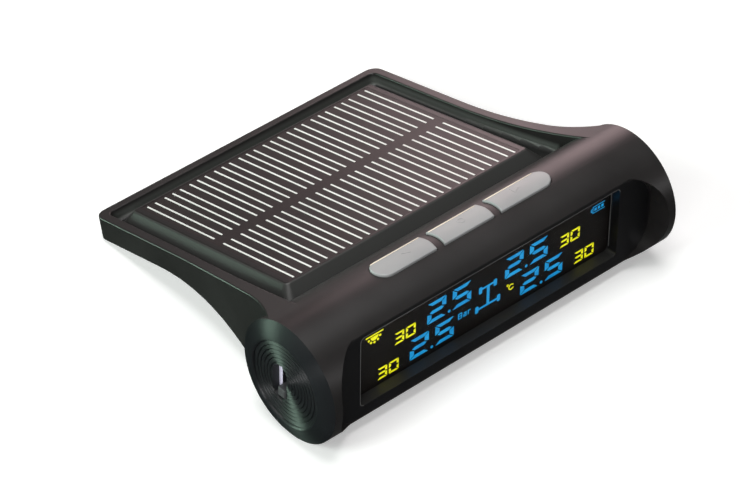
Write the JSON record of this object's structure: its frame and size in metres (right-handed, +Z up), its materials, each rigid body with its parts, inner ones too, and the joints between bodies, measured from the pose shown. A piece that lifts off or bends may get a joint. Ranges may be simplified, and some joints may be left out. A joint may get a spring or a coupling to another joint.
{
  "type": "tire pressure monitor",
  "caption": "Solar-charged dashboard display for tyre pressure sensors: a round barrel with a sunken window, push buttons and an end switch, carrying a flared shelf with a solar panel.",
  "frame": {"origin": "on the standing surface, below the middle of the bounding box", "axes": "+X along the display barrel to the driver's right, +Y from the display towards the rear of the solar shelf, +Z up"},
  "size_m": [0.0882, 0.078, 0.0255],
  "materials": {
    "housing_black": "fine satin texture",
    "cap_black": "satin, turned rings",
    "bezel_gloss": "gloss",
    "window_clear": "clear film",
    "lcd_dark": "dark polariser",
    "holder_white": "moulded",
    "lightguide": "translucent",
    "pin_metal": "plated",
    "mark_blue": "lit",
    "mark_yellow": "lit",
    "button_grey": "satin paint",
    "board_green": "solder mask",
    "switch_metal": "stamped",
    "knob_grey": "moulded",
    "screw_steel": "plated",
    "chip_black": "moulded",
    "can_metal": "tin plate",
    "aerial_copper": "bare wire",
    "battery_wrap": "shrink sleeve",
    "foam_black": "closed-cell foam",
    "lead_red": "insulated",
    "pad_rubber": "tacky pad",
    "panel_black": "resin-coated cell",
    "grid_white": "silver print"
  },
  "bodies": {
    "housing": {"top_shell": "housing_black", "bottom_cover": "housing_black", "housing_screws": "screw_steel", "base_pad": "pad_rubber", "left_end_cap": "cap_black", "right_end_cap": "cap_black", "display_bezel": "bezel_gloss", "display_window": "window_clear", "lcd_panel": "lcd_dark", "lcd_holder": "holder_white", "backlight": "lightguide", "lcd_pins": "pin_metal", "lcd_pressure_marks": "mark_blue", "lcd_temperature_marks": "mark_yellow", "button_board": "board_green", "tact_switches": "switch_metal", "power_switch_body": "switch_metal", "switch_terminals": "pin_metal", "main_board": "board_green", "board_screws": "screw_steel", "controller_chip": "chip_black", "receiver_can": "can_metal", "buzzer": "chip_black", "antenna_coil": "aerial_copper", "usb_socket": "can_metal", "battery_cell": "battery_wrap", "battery_cradle": "foam_black", "battery_leads": "lead_red", "solar_frame": "housing_black", "solar_panel": "panel_black", "solar_foam": "foam_black", "solar_grid_lines": "grid_white", "solar_leads": "lead_red"},
    "left_button": {"button_left": "button_grey"},
    "middle_button": {"button_middle": "button_grey"},
    "right_button": {"button_right": "button_grey"},
    "switch_knob": {"power_switch_knob": "knob_grey"}
  },
  "joints": [
    {"name": "left_button_press", "type": "slide", "parent": "housing", "child": "left_button", "axis": [0, 0.1548, 0.988], "range_m": [-0.0004, 0], "stiffness_N_per_m": 400, "springref_m": 0.0006},
    {"name": "middle_button_press", "type": "slide", "parent": "housing", "child": "middle_button", "axis": [0, 0.1548, 0.988], "range_m": [-0.0004, 0], "stiffness_N_per_m": 400, "springref_m": 0.0006},
    {"name": "right_button_press", "type": "slide", "parent": "housing", "child": "right_button", "axis": [0, 0.1548, 0.988], "range_m": [-0.0004, 0], "stiffness_N_per_m": 400, "springref_m": 0.0006},
    {"name": "power_switch_slide", "type": "slide", "parent": "housing", "child": "switch_knob", "axis": [0, 0.0297, 0.9996], "range_m": [0, 0.004]}
  ]
}
